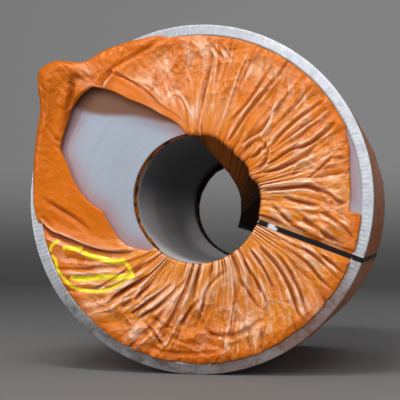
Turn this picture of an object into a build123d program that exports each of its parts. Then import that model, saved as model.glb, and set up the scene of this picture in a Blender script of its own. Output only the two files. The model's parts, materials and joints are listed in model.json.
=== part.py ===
"""Steel strip coil lying on its side, packed in plastic film with steel edge rings and one strap.

The coil's axis is +Y and the seen end faces -Y. The origin is the centre of the bore at mid width.
Lengths are millimetres and angles are degrees, counted from +X towards +Z as seen from the front.
"""
from build123d import *
import os
from math import asin, cos, degrees, radians, sin

# The wound steel strip.
STRIP_WIDTH = 1250.0
BORE_DIAMETER = 508.0
COIL_DIAMETER = 1350.0
LAY_BANDS = 14  # groups of turns that sit slightly in or out on the ends
LAY_WANDER = 0.8  # how far such a group may sit in from the end plane
LAY_RHYTHM = 2.4  # radians from one group to the next in the uneven lay

# The layers packed over the steel.
LAYER_GAP = 0.2
FILM_THICKNESS = 1.0
FILM_SETBACK = 4.0  # from the bore edge to the film on the end
FILM_SHORT_OF_RIM = 7.6  # from the end film's edge, under the ring, to the coil's rim
PUFF_HEIGHT = 18.0  # loose film over the end, above the steel
PUFF_EDGE = 34.0  # the width over which the puffed film comes down
PLEATS = 40
PLEAT_DEPTH = 13.0
PLEAT_WIDTH = 15.0
PLEAT_REACH = 0.8  # share of the end's width that a pleat crosses

# The angle-section ring round each outer edge.
RING_THICKNESS = 1.0
RING_FACE_WIDTH = 45.0
RING_BARREL_WIDTH = 50.0
RING_CORNER = 3.0

# The strap through the bore and its crimped seal.
STRAP_WIDTH = 19.0
STRAP_THICKNESS = 0.8
STRAP_ANGLE = -20.5
STRAP_ROOM = 7.0  # pressed-down film on each side of the strap
SEAL_LENGTH = 48.0
SEAL_THICKNESS = 1.0
SEAL_SIDE = 3.0  # how far the seal is wider than the strap on each side
SEAL_PLACE = -160.0  # along the axis

# The torn window in the front film: angle, and share of the way from bore to ring.
WINDOW = [
    (100, -0.1),
    (107, 0.18),
    (119, 0.43),
    (129, 0.76),
    (137, 0.96),
    (147, 0.93),
    (157, 0.88),
    (168, 0.7),
    (179, 0.53),
    (188, 0.36),
    (206, 0.25),
    (227, -0.1),
]
# The strip of bare steel where the front film has drawn in from the ring.
DRAWN_IN = [(-5, 1.3), (-5, 0.88), (3, 0.88), (13, 0.91), (21, 0.96), (28, 1.02), (28, 1.3)]
# The loose flap that stands over the ring: angle, inner and outer share, and share of its height.
FLAP = [
    (97, 0.72, 0.96, 0.28),
    (105, 0.62, 1.04, 0.6),
    (117, 0.6, 1.11, 0.83),
    (127, 0.86, 1.16, 0.93),
    (135, 1.01, 1.37, 1),
    (141, 1.03, 1.45, 1),
    (147, 1.03, 1.27, 0.9),
    (154, 1.01, 1.15, 0.77),
    (163, 0.96, 1.08, 0.63),
    (172, 0.83, 1.05, 0.47),
    (183, 0.7, 1.01, 0.28),
]
FLAP_HEIGHT = 60.0  # of its crest, off the ring
FLAP_CREST = 0.45  # where its crest lies, as a share of its width

# Radii from the inside out.
bore_r = BORE_DIAMETER / 2
coil_r = COIL_DIAMETER / 2
barrel_film_in = coil_r + LAYER_GAP
barrel_film_out = barrel_film_in + FILM_THICKNESS
ring_barrel_in = barrel_film_out + LAYER_GAP
ring_barrel_out = ring_barrel_in + RING_THICKNESS
ring_mouth_r = ring_barrel_out - RING_FACE_WIDTH
strap_barrel_in = ring_barrel_out + LAYER_GAP
strap_bore_out = bore_r - LAYER_GAP

# Distances from mid width, from the steel outwards.
half = STRIP_WIDTH / 2
film_face_in = half + LAYER_GAP
film_face_out = film_face_in + FILM_THICKNESS
ring_face_in = film_face_out + LAYER_GAP
ring_face_out = ring_face_in + RING_THICKNESS
strap_face_in = ring_face_out + LAYER_GAP

end_width = ring_mouth_r - bore_r


def polar(angle, share):
    """The point of an end at this angle and this share of the way from the bore to the ring."""
    r = bore_r + share * end_width
    return (r * cos(radians(angle)), r * sin(radians(angle)))


def outline(shares):
    """A closed straight-sided face on the front view, through polar points."""
    return make_face(Polyline([polar(a, s) for a, s in shares], close=True))


def turned(points):
    """A profile of (radius, distance along the axis) turned about the coil's axis."""
    return revolve(make_face(Polyline(points, close=True)), Axis.Y, 360)


def from_front(face, start, depth):
    """A front-view face, extruded outwards from a distance in front of mid width."""
    return extrude(Plane.XZ.offset(start) * face, depth)


def lay(side):
    """One end of the wound strip, as flat bands that wander in from the end plane."""
    pitch = (coil_r - bore_r) / LAY_BANDS
    points = []
    for band in range(LAY_BANDS):
        inset = LAY_WANDER * (1 + sin(band * LAY_RHYTHM)) / 2
        inner = bore_r + band * pitch
        points += [(inner, side * (half - inset)), (inner + pitch, side * (half - inset))]
    return points


def steel_coil():
    return turned(lay(-1) + lay(1)[::-1])


def barrel_film():
    """The film round the barrel, ending short of the rings' rounded corners."""
    end = half - RING_CORNER
    return turned(
        [
            (barrel_film_in, -end),
            (barrel_film_out, -end),
            (barrel_film_out, end),
            (barrel_film_in, end),
        ]
    )


def edge_ring():
    """The front ring: a flange on the end, a flange on the barrel, and a rounded corner."""
    outside = [
        (ring_mouth_r, -ring_face_out),
        (ring_barrel_out, -ring_face_out),
        (ring_barrel_out, -ring_face_out + RING_BARREL_WIDTH),
    ]
    inside = [
        (ring_barrel_in, -ring_face_out + RING_BARREL_WIDTH),
        (ring_barrel_in, -ring_face_in),
        (ring_mouth_r, -ring_face_in),
    ]
    section = make_face(Polyline(outside + inside, close=True))
    corner = section.vertices().sort_by_distance((ring_barrel_out, -ring_face_out))[0]
    section = fillet(corner, RING_CORNER)
    throat = section.vertices().sort_by_distance((ring_barrel_in, -ring_face_in))[0]
    section = fillet(throat, RING_CORNER - RING_THICKNESS)
    return revolve(section, Axis.Y, 360)


def film_section():
    """The end film's section: a skin under the ring, and loose film puffed up inside it."""
    inner = bore_r + FILM_SETBACK
    outer = coil_r - FILM_SHORT_OF_RIM
    foot = ring_mouth_r - LAYER_GAP
    top = half + PUFF_HEIGHT
    return make_face(
        [
            Line((inner, -film_face_in), (outer, -film_face_in)),
            Line((outer, -film_face_in), (outer, -film_face_out)),
            Line((outer, -film_face_out), (foot, -film_face_out)),
            Spline(
                (foot, -film_face_out),
                (foot - PUFF_EDGE, -top),
                tangents=((-0.4, -1), (-1, 0)),
            ),
            Line((foot - PUFF_EDGE, -top), (inner + PUFF_EDGE, -top)),
            Spline(
                (inner + PUFF_EDGE, -top),
                (inner, -film_face_out),
                tangents=((-1, 0), (-0.4, 1)),
            ),
            Line((inner, -film_face_out), (inner, -film_face_in)),
        ]
    )


def pleat_cutters():
    """V grooves that start deep at the bore and rise out of the film on the way to the ring."""
    reach = end_width * PLEAT_REACH
    v = make_face(
        Polyline((0, 0), (PLEAT_WIDTH / 2, -PLEAT_DEPTH), (-PLEAT_WIDTH / 2, -PLEAT_DEPTH), close=True)
    )
    groove = extrude(Plane.YZ * Rot(Z=-90) * v, reach)
    rise = degrees(asin(PLEAT_DEPTH / reach))
    start = Location((bore_r + FILM_SETBACK / 2, -(half + PUFF_HEIGHT - PLEAT_DEPTH), 0))
    seated = start * Rot(Z=-rise) * groove
    step = 360 / PLEATS
    return [Rot(Y=-(k + 0.5) * step) * seated for k in range(PLEATS)]


def strap_channel():
    """Where the strap presses the loose film flat."""
    width = STRAP_WIDTH + 2 * STRAP_ROOM
    box = Box(end_width, PUFF_HEIGHT, width, align=(Align.MIN, Align.MAX, Align.CENTER))
    return Rot(Y=-STRAP_ANGLE) * Pos(bore_r, -film_face_out, 0) * box


def end_film():
    """The gathered film over one end, before any tear."""
    film = revolve(film_section(), Axis.Y, 360)
    return film - pleat_cutters() - strap_channel()


def flap():
    """The torn film folded back over the ring, lofted through three-cornered radial sections."""
    base = ring_face_out + LAYER_GAP
    sections = []
    for angle, inner, outer, height in FLAP:
        crest = inner + FLAP_CREST * (outer - inner)
        corners = [(inner, base), (outer, base), (crest, base + height * FLAP_HEIGHT)]
        points = [(x, -y, z) for (x, z), y in ((polar(angle, s), y) for s, y in corners)]
        sections.append(make_face(Polyline(points, close=True)))
    return loft(sections, ruled=True)


def torn(film):
    """The front film: an end film with its torn window, its drawn-in edge and its loose flap."""
    film -= from_front(outline(WINDOW), half, 2 * PUFF_HEIGHT)
    film -= from_front(outline(DRAWN_IN), half, 2 * PUFF_HEIGHT)
    return film + flap()


def loop_face(grow):
    """The strap's loop seen in section, grown outwards by this much."""
    inner, outer = strap_bore_out - grow, strap_barrel_in + grow
    reach = 2 * (strap_face_in + grow)
    middle = Pos((inner + outer) / 2, 0)
    return middle * RectangleRounded(outer - inner, reach, RING_CORNER + LAYER_GAP + grow)


def along_strap(section, radius, width):
    """A section turned about the axis at this radius, trimmed to this width at the strap's angle."""
    reach = 1.5 * degrees(asin(width / 2 / radius))
    band = Rot(Y=-reach) * revolve(section, Axis.Y, 2 * reach)
    slab = Box(4 * coil_r, 4 * half, width)
    return Rot(Y=-STRAP_ANGLE) * (band & slab)


def eye_strap():
    """One endless strap: along the bore, over both ends and along the barrel."""
    section = loop_face(STRAP_THICKNESS) - loop_face(0)
    return along_strap(section, strap_bore_out - STRAP_THICKNESS, STRAP_WIDTH)


def strap_seal(strap):
    """The crimped sleeve that closes the strap, on the barrel."""
    inner = strap_barrel_in - LAYER_GAP
    outer = strap_barrel_in + STRAP_THICKNESS + SEAL_THICKNESS
    section = Pos((inner + outer) / 2, SEAL_PLACE) * Rectangle(outer - inner, SEAL_LENGTH)
    return along_strap(section, inner, STRAP_WIDTH + 2 * SEAL_SIDE) - strap


def to_back(shape):
    """The same piece on the far end."""
    return mirror(shape, Plane.XZ)


def save(name, shape):
    export_step(shape, f"parts/{name}.step")


def main():
    os.makedirs("parts", exist_ok=True)
    ring = edge_ring()
    film = end_film()
    strap = eye_strap()
    save("steel_coil", steel_coil())
    save("barrel_film", barrel_film())
    save("edge_ring_front", ring)
    save("edge_ring_back", to_back(ring))
    save("end_film_front", torn(film))
    save("end_film_back", to_back(film))
    save("eye_strap", strap)
    save("strap_seal", strap_seal(strap))


main()
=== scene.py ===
"""A wound steel coil lying on its side, dressed in torn orange film, crimped edge rings and a strap.

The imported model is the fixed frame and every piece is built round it, in metres. +Y runs along the bore
from the seen end to the far end, and +Z is up. Angles are in degrees from +X towards +Z, as seen from
the front. Heights are measured outwards from the plane of an end of the steel.
"""
import json
import math

import bpy
import numpy as np
from bpy.props import FloatProperty, FloatVectorProperty, IntProperty, PointerProperty
from bpy.types import Operator, Panel, PropertyGroup
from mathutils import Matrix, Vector


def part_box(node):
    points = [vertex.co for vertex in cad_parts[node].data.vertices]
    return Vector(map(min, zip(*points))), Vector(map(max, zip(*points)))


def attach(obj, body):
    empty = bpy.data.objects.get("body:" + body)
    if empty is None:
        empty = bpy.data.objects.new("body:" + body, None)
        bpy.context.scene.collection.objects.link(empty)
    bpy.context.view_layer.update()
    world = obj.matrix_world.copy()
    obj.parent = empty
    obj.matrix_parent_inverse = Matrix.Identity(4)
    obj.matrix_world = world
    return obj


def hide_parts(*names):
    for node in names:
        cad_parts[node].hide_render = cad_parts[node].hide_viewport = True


bl_info = {
    "name": "Wrapped Steel Coil",
    "version": (1, 0, 0),
    "blender": (4, 5, 0),
    "location": "View3D > Sidebar > Steel Coil",
    "description": "Dresses a packed steel coil in torn film, crimped edge rings and a strap",
    "category": "Object",
}

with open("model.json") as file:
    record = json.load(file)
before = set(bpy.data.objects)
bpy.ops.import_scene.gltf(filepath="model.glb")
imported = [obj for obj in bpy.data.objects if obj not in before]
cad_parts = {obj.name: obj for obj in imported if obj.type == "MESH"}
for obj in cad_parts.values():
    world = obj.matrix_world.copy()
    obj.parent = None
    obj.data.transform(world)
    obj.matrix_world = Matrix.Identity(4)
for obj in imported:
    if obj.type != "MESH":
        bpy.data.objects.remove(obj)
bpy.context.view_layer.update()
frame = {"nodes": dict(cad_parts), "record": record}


def node_points(node):
    """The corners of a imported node's mesh, one row each."""
    mesh = frame["nodes"][node].data
    points = np.empty(len(mesh.vertices) * 3)
    mesh.vertices.foreach_get("co", points)
    return points.reshape(-1, 3)


# Sizes read from the frame.
steel_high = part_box("steel_coil")[1]
ring_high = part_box("edge_ring_front")[1]
COIL_R = steel_high.x
HALF = steel_high.y
BORE_R = frame["record"]["mounts"][0]["dims"]["r_mm"] / 1000
RING_R = ring_high.x
RING_FACE = -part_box("edge_ring_front")[0].y - HALF
RING_LENGTH = ring_high.y + HALF + RING_FACE
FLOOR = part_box("edge_ring_front")[0].z
ring_points = node_points("edge_ring_front")
MOUTH_R = np.hypot(ring_points[:, 0], ring_points[:, 2]).min()
strap_points = node_points("eye_strap")
STRAP_ANGLE = math.degrees(math.atan2(strap_points[:, 2].mean(), strap_points[:, 0].mean()))
END_WIDTH = MOUTH_R - BORE_R

# The front film. A table holds angles and values, a path holds x and z, and lengths are in
# millimetres.

# The torn window: its two ends, and the radius of its edge.
TORN = (98, 226)
WINDOW_EDGE = [
    (94, 243), (99, 254), (104, 298), (113, 356), (124, 465), (128, 534), (133, 602), (138, 612),
    (144, 610), (149, 597), (157, 586), (160, 580), (165, 537), (176, 469), (181, 432), (187, 378),
    (197, 358), (207, 344), (213, 331), (224, 287), (229, 272),
]
# How far the torn edge stands off the steel.
HEM_HEIGHT = [
    (95, 13), (99, 16), (104, 20), (108, 28), (114, 38), (122, 46), (128, 48), (139, 46), (145, 38),
    (149, 32), (159, 24), (168, 18), (180, 15), (205, 14), (220, 12), (230, 11),
]
# The flap over the ring: its two ends, the radius of its edge, and the height of its crest.
FLAP = (97, 192)
FLAP_EDGE = [
    (97, 634), (104, 650), (111, 662), (119, 679), (122, 686), (127, 690), (130, 699), (133, 740),
    (135, 778), (138, 800), (141, 812), (143, 798), (146, 764), (150, 725), (153, 710), (160, 688),
    (170, 667), (182, 659), (192, 645),
]
FLAP_HEIGHT = [
    (94, 4), (98, 5), (104, 17), (110, 27), (118, 40), (127, 52), (134, 64), (142, 66), (149, 50),
    (156, 38), (165, 28), (175, 20), (184, 14), (190, 6), (195, 4),
]
# Where the film has drawn in from the ring: its two ends, and the radius of its edge.
DRAWN = (-5.4, 26)
DRAWN_EDGE = [(-8, 589), (0, 586), (7, 590), (13, 599), (20, 617), (25, 627), (30, 634)]
# How far round the pleats turn on their way from the bore to the ring, in degrees.
SWIRL = [
    (-20, -5), (-40, -12), (-55, -18), (-72, -24), (-90, -20), (-105, -24), (-125, -30), (-145, -32),
    (0, -13), (12, -4), (26, 10), (40, 8), (57, 4), (75, -2), (90, 2), (100, 14), (112, 20), (150, 0),
    (190, -20),
]
# How far the tuck hangs away from the wall of the bore.
TUCK_SLACK = [
    (-60, 3), (-30, 3), (-21, 3), (-20, 102), (0, 94), (18, 84), (45, 72), (65, 58), (82, 34), (92, 8),
    (100, 3), (160, 3), (240, 3),
]
# How far the film reaches into the bore.
TUCK_REACH = [(-35, 60), (-22, 130), (92, 130), (100, 70), (225, 20), (300, 24), (318, 40)]
# How far the film sags in over the edge of the bore.
LIP_SAG = [
    (-90, 0), (-20, 0), (8, 0), (13, 4), (19, 25), (26, 19), (32, 16), (42, 19), (52, 20), (62, 20),
    (70, 9), (77, 0), (86, 3), (93, 6), (99, 2), (105, 0), (180, 0),
]
# Bunched knots at the edge of the bore: x and z, height and reach.
KNOTS = [(-14, 258, 9, 14), (222, 84, 11, 16), (128, 198, 8, 16)]
# Loose crumpling towards the rim, as a factor.
CRUMPLE = [
    (-120, 1.5), (-95, 1.7), (-75, 1.5), (-55, 0.7), (-30, 0.5), (0, 0.9), (20, 1.0), (45, 0.7),
    (65, 0.9), (80, 1.3), (105, 1.2), (125, 0.8), (150, 0.4), (180, 0.3), (205, 0.4), (222, 1.0),
]
# The height of the pleats, as a factor.
PLEATING = [
    (-130, 1.3), (-100, 1.1), (-60, 1.2), (-25, 1.0), (0, 0.75), (20, 0.55), (35, 0.45), (60, 0.4),
    (80, 0.45), (95, 0.4), (104, 0.35), (118, 0.25), (150, 0.12), (190, 0.12), (208, 0.3), (218, 0.8),
    (226, 1.0),
]
# The upper edge of the smooth band along the window.
SMOOTH_BAND = [(-345, 508), (-334, 501), (-262, 465), (-193, 419), (-147, 368), (-97, 332), (-47, 291)]
# The lower edge of the film's painted brown shadow on the steel.
SHADE_EDGE = [(-490, 366), (-440, 343), (-375, 331), (-260, 329), (-190, 315), (-140, 302), (-60, 288)]
# The painted shade along the dark fold beside the flap's upright panel.
PANEL_SHADE = [(-476, 476), (-496, 392), (-512, 300), (-530, 205)]
# Painted highlights: pale, glossy places, with x and z, and reach.
HIGHLIGHT_PLACES = [
    (-420, 492, 42), (-195, 470, 40), (-120, 510, 45), (-110, 400, 60), (6, 571, 55), (-23, 340, 42),
    (93, 348, 42), (251, 496, 38), (420, 135, 38), (527, 87, 30), (-110, -364, 55), (-238, -518, 42),
    (185, -475, 55), (60, -365, 40), (141, -300, 42), (451, -409, 38), (-428, -415, 45), (330, 420, 60),
    (-500, -245, 70), (-365, -290, 70),
]
# The share of painted shade, with some dirt, on the film tucked into the bore.
TUCK_SHADE_AND_DIRT = [(-60, 1), (0, 1), (25, 0.9), (48, 0.74), (75, 0.66), (95, 0.76), (104, 1), (180, 1)]
# Stretches between two angles: where the tuck in the bore keeps most of its pleats, and where the
# film has less gloss and less painted sheen at the lip and low down.
FRILLED = (14, 70)
DULL_LIP = (18, 105)
DULL_FOOT = (250, 274)
# The back film's edge in the bore, where light falls on it.
LIT_EDGE = (115, 190)
# Single folds: depth and half width, then x and z of points. A negative depth is a ridge.
FOLDS = [
    (9, 9, (-381, 443), (-341, 500), (-241, 560), (-161, 606), (-96, 641)),
    (9, 8, (45, 626), (65, 555), (51, 486), (27, 382), (5, 278)),
    (-6, 7, (27, 626), (68, 573), (109, 519)),
    (-6, 7, (-26, 628), (15, 583)),
    (-7, 7, (-235, 465), (-163, 434), (-127, 371)),
    (-7, 7, (-127, 371), (-91, 409), (-50, 393), (-8, 308)),
    (-5, 6, (-127, 544), (-74, 493), (-41, 541)),
    (9, 7, (127, 218), (179, 298), (237, 377), (306, 450), (367, 532)),
    (7, 6, (128, 292), (197, 361), (243, 429), (302, 512)),
    (9, 8, (208, 150), (246, 178), (290, 226)),
    (-9, 8, (176, 196), (215, 222), (262, 252)),
    (10, 8, (236, 108), (272, 150), (262, 196), (226, 232)),
    (-7, 7, (290, 150), (283, 196), (250, 240)),
    (9, 7, (260, 165), (346, 260), (420, 321), (500, 371)),
    (-8, 8, (248, 222), (289, 296), (312, 375)),
    (11, 8, (277, 124), (363, 180), (448, 207), (539, 291)),
    (11, 8, (260, 96), (340, 118), (425, 162), (471, 201)),
    (-8, 7, (260, 148), (352, 215), (516, 331)),
    (15, 8, (254, 28), (340, 38), (431, 43), (504, 14), (565, -25)),
    (-7, 8, (442, 60), (498, 14), (571, -14)),
    (6, 6, (425, 66), (493, 122), (544, 172)),
    (-5, 6, (363, 89), (414, 140), (459, 116)),
    (-5, 6, (88, 630), (84, 520), (66, 390)),
    (5, 6, (150, 622), (128, 520), (88, 408)),
    (-5, 6, (210, 575), (160, 450), (104, 300)),
    (5, 6, (240, 582), (196, 480), (158, 390)),
    (-5, 7, (412, 470), (330, 375), (240, 262)),
    (6, 6, (455, 425), (372, 338), (290, 258)),
    (6, 6, (62, 596), (115, 536)),
    (5, 5, (98, 601), (144, 535)),
    (9, 8, (335, 4), (400, -14), (475, -33)),
    (9, 8, (289, -21), (374, -103), (440, -142)),
    (9, 8, (374, -44), (483, -132), (570, -180)),
    (7, 8, (469, -41), (577, -124), (600, -165)),
    (15, 9, (-361, -405), (-276, -346), (-191, -294)),
    (14, 8, (-265, -449), (-191, -397), (-93, -331)),
    (14, 8, (-226, -458), (-142, -406), (-51, -321)),
    (-7, 8, (-330, -352), (-262, -310), (-212, -274)),
    (-7, 8, (-300, -436), (-222, -380), (-140, -322)),
    (8, 7, (-420, -352), (-350, -322), (-262, -262)),
    (-6, 7, (-191, -305), (-240, -366), (-261, -408)),
    (8, 7, (-72, -493), (-24, -425), (18, -384)),
    (8, 7, (18, -438), (32, -364), (73, -309), (118, -279)),
    (9, 7, (182, -235), (223, -302), (257, -361), (270, -395)),
    (9, 6, (210, -195), (257, -261), (297, -341)),
    (10, 7, (243, -181), (311, -254), (364, -347), (390, -433), (417, -472)),
    (8, 6, (284, -181), (351, -261), (397, -353), (430, -452)),
    (8, 6, (324, -174), (424, -244), (477, -306), (523, -352)),
    (8, 6, (391, -174), (484, -247), (550, -319)),
    (7, 6, (444, -187), (510, -240), (569, -292)),
    (12, 10, (25, -499), (80, -525), (148, -523), (209, -496), (256, -461)),
    (8, 7, (-212, -468), (-166, -522), (-128, -576)),
    (-6, 8, (-107, -548), (-23, -574), (59, -619)),
    (6, 7, (151, -543), (148, -604)),
    (7, 7, (169, -309), (209, -369), (243, -422)),
    (6, 6, (-170, -468), (-114, -494), (-37, -520)),
    (9, 8, (-230, -560), (-136, -588), (-20, -596), (90, -588)),
    (24, 13, (-639, -89), (-587, -132), (-507, -165), (-423, -197), (-339, -213), (-250, -207)),
    (-10, 7, (-633, -72), (-593, -110), (-558, -138)),
    (8, 12, (-622, 9), (-565, -29), (-491, -73), (-423, -132)),
    (8, 7, (-577, -272), (-447, -274), (-314, -260)),
    (-6, 8, (-540, -243), (-421, -250), (-340, -240)),
    (16, 13, (-484, 468), (-489, 420), (-498, 356)),
    (-9, 9, (-590, 480), (-585, 403), (-589, 335)),
    (9, 8, (-580, 486), (-533, 500), (-498, 524)),
    (5, 9, (-595, 293), (-554, 227)),
    (11, 7, (-326, 503), (-350, 471), (-374, 438)),
    (7, 7, *SMOOTH_BAND[1:]),
    (-6, 7, (-460, 498), (-420, 459)),
]
# The yellow spray mark: strokes with their half width, then x and z of points.
SPRAY = [
    (6, (-558, -165), (-573, -173), (-587, -186), (-591, -200)),
    (8, (-530, -190), (-503, -193), (-466, -196)),
    (9, (-448, -212), (-424, -223), (-387, -229), (-351, -239), (-315, -246), (-291, -240)),
    (6, (-291, -237), (-273, -257), (-263, -271), (-258, -289), (-253, -303)),
    (10, (-496, -309), (-466, -313), (-423, -309), (-381, -304), (-336, -305), (-253, -300)),
    (
        6, (-583, -224), (-570, -238), (-565, -256), (-563, -273), (-554, -288), (-536, -308),
        (-520, -325), (-496, -345), (-459, -355), (-411, -361), (-366, -356), (-327, -344),
        (-300, -324), (-273, -303),
    ),
]


class CoilSettings(PropertyGroup):
    """What the wound steel looks like."""

    colour: FloatVectorProperty(
        name="Steel", description="Colour of the rolled strip", subtype="COLOR",
        default=(0.45, 0.495, 0.575), min=0, max=1,
    )
    bands: IntProperty(
        name="Bands", description="Groups of turns that show on the seen end", default=110, min=10,
    )
    lay: FloatProperty(
        name="Uneven lay", description="How far a group of turns sits in from the end",
        default=0.0007, unit="LENGTH",
    )


class FilmSettings(PropertyGroup):
    """The wrapping film."""

    colour: FloatVectorProperty(
        name="Film", description="Colour of the wrapping film", subtype="COLOR",
        default=(0.70, 0.166, 0.005), min=0, max=1,
    )
    spray: FloatVectorProperty(
        name="Spray", description="Colour of the sprayed mark", subtype="COLOR",
        default=(1.0, 0.86, 0.02), min=0, max=1,
    )
    around: IntProperty(
        name="Around", description="Columns of the end films' grid", default=1140, min=120,
    )
    pleat: FloatProperty(
        name="Pleats", description="Height of the gathered pleats", default=0.011, unit="LENGTH",
    )
    crumple: FloatProperty(
        name="Crumples", description="Height of the loose crumples", default=0.0065, unit="LENGTH",
    )
    bulge: FloatProperty(
        name="Barrel bulge", description="How far the barrel's film stands off", default=0.011,
        unit="LENGTH",
    )


class RingSettings(PropertyGroup):
    """The edge rings."""

    colour: FloatVectorProperty(
        name="Zinc", description="Colour of the galvanised rings", subtype="COLOR",
        default=(0.58, 0.60, 0.64), min=0, max=1,
    )
    around: IntProperty(
        name="Around", description="Columns of a ring's grid", default=1800, min=120,
    )
    crimps: IntProperty(name="Crimps", description="Crimps round a ring", default=250, min=12)
    depth: FloatProperty(
        name="Crimp depth", description="Height of a crimp at the ring's mouth", default=0.0006,
        unit="LENGTH",
    )


class StageSettings(PropertyGroup):
    """The camera's place and the floor."""

    across: FloatProperty(
        name="Across", description="Camera's distance to the right of the bore", default=0.85,
        unit="LENGTH",
    )
    away: FloatProperty(
        name="Away", description="Camera's distance in front of the seen end", default=4.17,
        unit="LENGTH",
    )
    below: FloatProperty(
        name="Below", description="Camera's depth below the bore", default=0.145, unit="LENGTH",
    )
    angle: FloatProperty(
        name="Angle of view", description="Width of the view", default=math.radians(20.6),
        subtype="ANGLE",
    )
    paper: FloatVectorProperty(
        name="Paper", description="Colour of the floor and backdrop", subtype="COLOR",
        default=(0.17, 0.167, 0.163), min=0, max=1,
    )


def ease(x, start, end):
    """Rises smoothly from 0 at start to 1 at end."""
    t = np.clip((x - start) / (end - start), 0, 1)
    return t * t * (3 - 2 * t)


def mixed(a, b, share):
    """a where share is 0, b where it is 1, and a straight mix between."""
    return a + (b - a) * share


def scaled(colour, *factors):
    """A colour times one factor, or times one for each of its red, green and blue."""
    return [c * k for c, k in zip(colour, factors * 3)]


def noise(u, v, period, seed):
    """Smooth random values from -1 to 1 on cells one unit wide, repeating after `period` cells of u.

    A cell's corners hold random values, which are joined by the cubic 3t^2 - 2t^3 along each side.
    """
    table = np.random.default_rng(seed).uniform(-1, 1, (period, 64))
    column, row = np.floor(u).astype(int), np.floor(v).astype(int)
    left, right = column % period, (column + 1) % period
    s, t = ease(u - column, 0, 1), ease(v - row, 0, 1)
    low, high = (mixed(table[left, k % 64], table[right, k % 64], s) for k in (row, row + 1))
    return mixed(low, high, t)


def around(degrees, table, blur=0.0):
    """Values of an (angle, value) table at these angles, softened over `blur` degrees.

    The angles are evenly spaced round the circle, and the softening is a circular Gaussian average.
    """
    angles, values = np.array(sorted((a % 360, v) for a, v in table), float).T
    line = np.interp(degrees, angles, values, period=360)
    if blur:
        off = np.minimum(degrees - degrees[0], 360 - (degrees - degrees[0]))
        kernel = np.exp(-0.5 * (off / blur) ** 2)
        spread = np.fft.fft(line) * np.fft.fft(kernel / kernel.sum())
        line = np.real(np.fft.ifft(spread))
    return line[:, None]


def between(degrees, ends, soft):
    """1 at the angles between two ends, falling to 0 over `soft` degrees outside them."""
    middle = (ends[0] + ends[1]) / 2
    off = np.abs((degrees - middle + 180) % 360 - 180) - (ends[1] - ends[0]) / 2
    return 1 - ease(off, 0, soft)[:, None]


def apart(theta, degrees):
    """The angle between each place and a direction, in radians."""
    return np.abs((theta - math.radians(degrees) + np.pi) % (2 * np.pi) - np.pi)


def off_strap(theta, r):
    """How far a place lies to the side of the strap. Across the coil from it, this is 9 metres."""
    gap = theta - math.radians(STRAP_ANGLE)
    return np.where(np.cos(gap) > 0, np.abs(np.sin(gap)) * r, 9.0)


def placed(r, y, theta):
    """Points from radius, place along the bore and angle."""
    return np.stack(np.broadcast_arrays(r * np.cos(theta), y, r * np.sin(theta)), axis=-1)


def grid(points, closed=True, turned=False):
    """A grid's points in one list, and its four-cornered faces, turned round or not.

    A closed grid has faces from its last row to its first one too.
    """
    rows, columns = points.shape[:2]
    last = rows if closed else rows - 1
    i, j = np.meshgrid(np.arange(last), np.arange(columns - 1), indexing="ij")
    k = (i + 1) % rows
    corners = [i * columns + j, k * columns + j, k * columns + j + 1, i * columns + j + 1]
    faces = np.stack(corners, axis=-1).reshape(-1, 4)
    return points.reshape(-1, 3), faces[:, ::-1] if turned else faces


def mesh_object(name, points, faces, slot, node, attributes=None, smooth=True):
    """A new piece in a node's place, from arrays of points and of four-cornered faces."""
    mesh = bpy.data.meshes.new(name)
    mesh.vertices.add(len(points))
    mesh.vertices.foreach_set("co", points.astype(np.float32).ravel())
    mesh.loops.add(faces.size)
    mesh.loops.foreach_set("vertex_index", faces.astype(np.int32).ravel())
    mesh.polygons.add(len(faces))
    mesh.polygons.foreach_set("loop_start", np.arange(0, faces.size, 4, dtype=np.int32))
    mesh.polygons.foreach_set("use_smooth", np.full(len(faces), smooth))
    for key, values in (attributes or {}).items():
        kind, field = ("FLOAT_VECTOR", "vector") if values.size > len(points) else ("FLOAT", "value")
        layer = mesh.attributes.new(key, kind, "POINT")
        layer.data.foreach_set(field, values.astype(np.float32).ravel())
    mesh.update(calc_edges=True)
    mesh.validate()
    piece = bpy.data.objects.new(name, mesh)
    bpy.context.scene.collection.objects.link(piece)
    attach(piece, "root")
    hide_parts(node)
    return piece


def dress(piece, material):
    """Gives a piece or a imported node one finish."""
    piece.data.materials.clear()
    piece.data.materials.append(material)


class Term:
    """The value on one socket of a material. Arithmetic on it adds Math nodes."""

    def __init__(self, finish, socket):
        self.finish = finish
        self.socket = socket

    def math(self, operation, *others):
        """A Math node on this value and others."""
        values = dict(enumerate((self, *others)))
        return self.finish.node("ShaderNodeMath", {"operation": operation}, values)

    def __add__(self, other):
        return self.math("ADD", other)

    def __sub__(self, other):
        return self.math("SUBTRACT", other)

    def __mul__(self, other):
        return self.math("MULTIPLY", other)

    def __rsub__(self, other):
        return self.finish.node("ShaderNodeMath", {"operation": "SUBTRACT"}, {0: other, 1: self})

    __radd__ = __add__
    __rmul__ = __mul__

    def step(self, start, end):
        """Rises smoothly from 0 to 1 between two values."""
        settings = {"interpolation_type": "SMOOTHSTEP"}
        return self.finish.node("ShaderNodeMapRange", settings, {0: self, 1: start, 2: end})


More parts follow.
